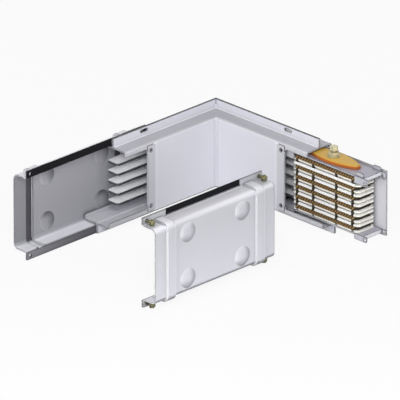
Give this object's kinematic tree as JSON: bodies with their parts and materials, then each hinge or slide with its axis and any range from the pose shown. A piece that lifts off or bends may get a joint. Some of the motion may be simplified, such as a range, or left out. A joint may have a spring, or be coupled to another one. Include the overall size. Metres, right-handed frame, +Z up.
{
  "type": "busway elbow section",
  "caption": "Right-angle sheet-metal busway elbow with stacked flat bars, bare ends under a joint cover pair and a bolted joint pack.",
  "frame": {"origin": "corner where the two legs' flange planes meet, at the lower flanges' bottom edge", "axes": "+Z up across the flanges, left leg with bare bars along -X, right leg with the joint pack along -Y"},
  "size_m": [0.5108, 0.45, 0.174],
  "materials": {
    "housing_paint": "satin",
    "cover_paint": "satin",
    "strip_rubber": "matte",
    "tinned_bar": "satin",
    "tinned_splice": "satin",
    "insulator_moulding": "matte",
    "support_moulding": "matte",
    "pack_steel": "satin",
    "side_plate_steel": "satin",
    "rivet_steel": "satin",
    "screw_zinc": "satin",
    "pressure_paint": "satin",
    "bolt_zinc": "satin"
  },
  "bodies": {
    "elbow": {"outer_housing": "housing_paint", "inner_housing": "housing_paint", "rear_cover": "cover_paint", "rear_strip_upper": "strip_rubber", "rear_strip_lower": "strip_rubber", "busbar_1": "tinned_bar", "splice_plate_1_upper": "tinned_splice", "splice_plate_1_lower": "tinned_splice", "busbar_2": "tinned_bar", "splice_plate_2_upper": "tinned_splice", "splice_plate_2_lower": "tinned_splice", "busbar_3": "tinned_bar", "splice_plate_3_upper": "tinned_splice", "splice_plate_3_lower": "tinned_splice", "busbar_4": "tinned_bar", "splice_plate_4_upper": "tinned_splice", "splice_plate_4_lower": "tinned_splice", "busbar_5": "tinned_bar", "splice_plate_5_upper": "tinned_splice", "splice_plate_5_lower": "tinned_splice", "insulator_1": "insulator_moulding", "insulator_2": "insulator_moulding", "insulator_3": "insulator_moulding", "insulator_4": "insulator_moulding", "insulator_5": "insulator_moulding", "insulator_6": "insulator_moulding", "ground_plate": "tinned_splice", "bar_support_left": "support_moulding", "bar_support_right": "support_moulding", "insulating_sleeve": "support_moulding", "top_plate": "pack_steel", "bottom_plate": "pack_steel", "side_plate": "side_plate_steel", "side_plate_rivet_1": "rivet_steel", "side_plate_rivet_2": "rivet_steel", "side_plate_rivet_3": "rivet_steel", "side_plate_rivet_4": "rivet_steel", "pressure_plate": "pressure_paint", "flat_washer": "bolt_zinc", "spring_washer": "bolt_zinc", "nut_washer": "bolt_zinc", "joint_bolt": "bolt_zinc", "joint_nut": "bolt_zinc"},
    "front_cover": {"front_cover": "cover_paint", "front_strip_upper": "strip_rubber", "front_strip_lower": "strip_rubber", "cover_screw_1": "screw_zinc", "cover_screw_2": "screw_zinc", "cover_screw_3": "screw_zinc", "cover_screw_4": "screw_zinc"}
  },
  "joints": [
    {"name": "front_cover_slide", "type": "slide", "parent": "elbow", "child": "front_cover", "axis": [0, 1, 0], "range_m": [0, 0.2877]}
  ]
}
